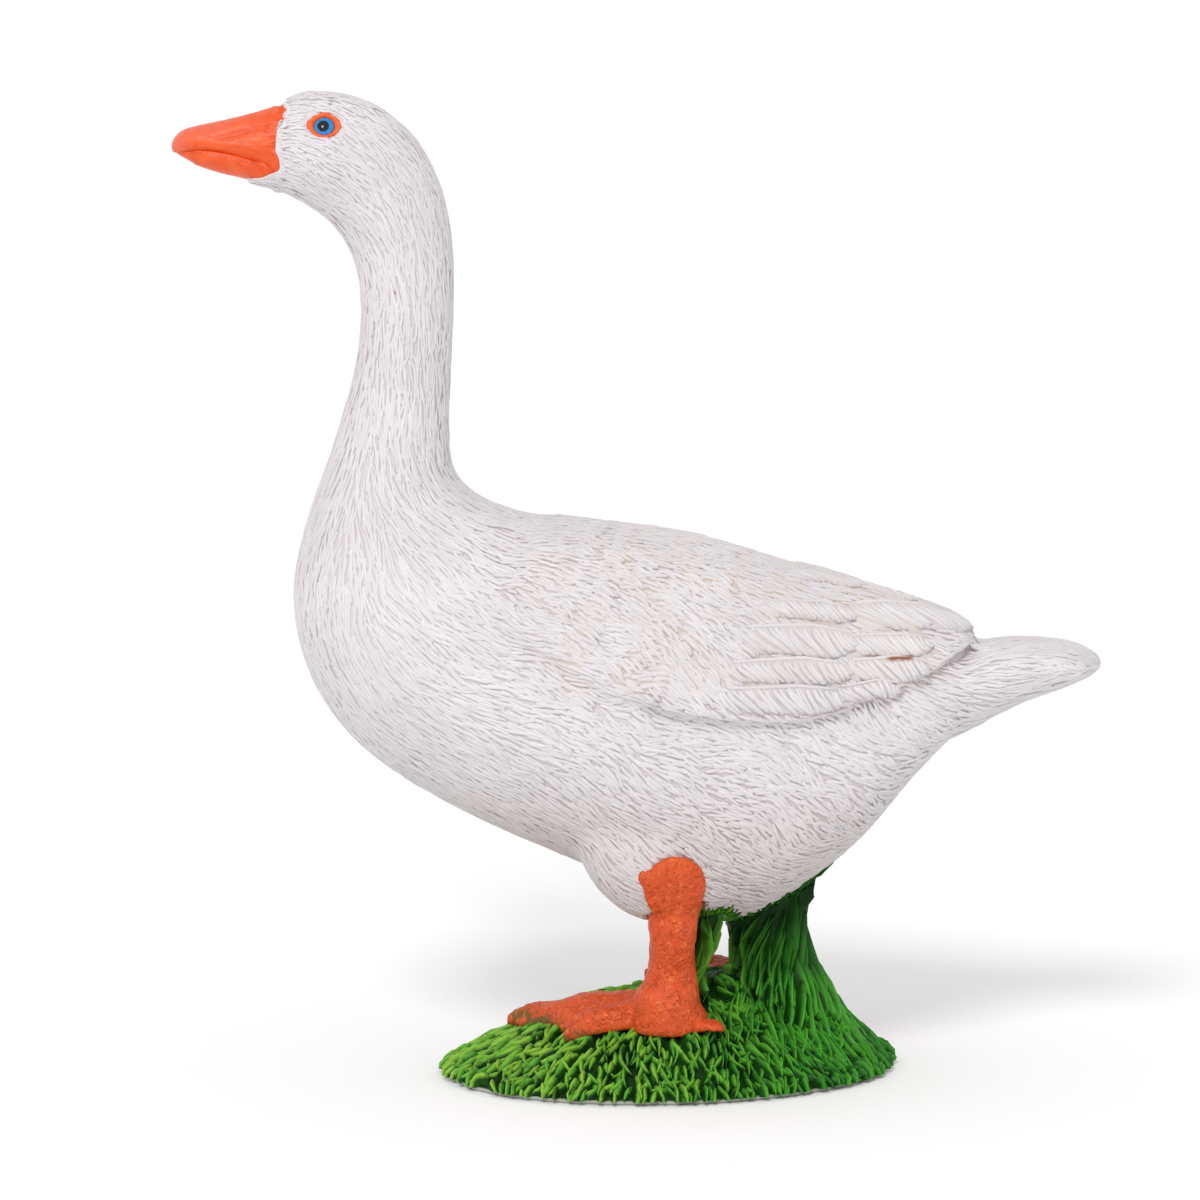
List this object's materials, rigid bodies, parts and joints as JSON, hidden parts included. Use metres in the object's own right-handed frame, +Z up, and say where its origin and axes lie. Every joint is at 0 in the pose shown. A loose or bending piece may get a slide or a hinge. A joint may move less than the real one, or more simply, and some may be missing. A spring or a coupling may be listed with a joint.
{
  "type": "toy goose figure",
  "caption": "Small moulded toy figure of a white domestic goose with an orange bill and legs, walking on a green grass mound that it stands on.",
  "frame": {"origin": "middle of the mound's flat underside, on the surface that the figure stands on", "axes": "+Z up; the goose faces -X; its left side faces -Y"},
  "size_m": [0.0748, 0.0282, 0.08],
  "materials": {
    "white_feathers": "satin white paint with a faint beige wash in the moulded feather grooves",
    "bill_orange": "satin orange paint, paler and pinker at the tip",
    "leg_orange": "satin red-orange paint over a wrinkled moulded skin",
    "eye_ring_orange": "satin orange paint",
    "eye_blue": "glossy blue paint with a black pupil",
    "grass_green": "satin dark green paint, dry-brushed yellow-green on the blade tips"
  },
  "bodies": {
    "root": {"head": "white_feathers", "neck": "white_feathers", "trunk": "white_feathers", "tail": "white_feathers", "wing_left": "white_feathers", "wing_right": "white_feathers", "thigh_left": "white_feathers", "thigh_right": "white_feathers", "bill_upper": "bill_orange", "bill_lower": "bill_orange", "eye_ring_left": "eye_ring_orange", "eye_ring_right": "eye_ring_orange", "eye_left": "eye_blue", "eye_right": "eye_blue", "shank_left": "leg_orange", "shank_right": "leg_orange", "foot_left": "leg_orange", "foot_right": "leg_orange", "mound": "grass_green", "grass_clump_front": "grass_green", "grass_clump_rear": "grass_green"}
  },
  "joints": []
}
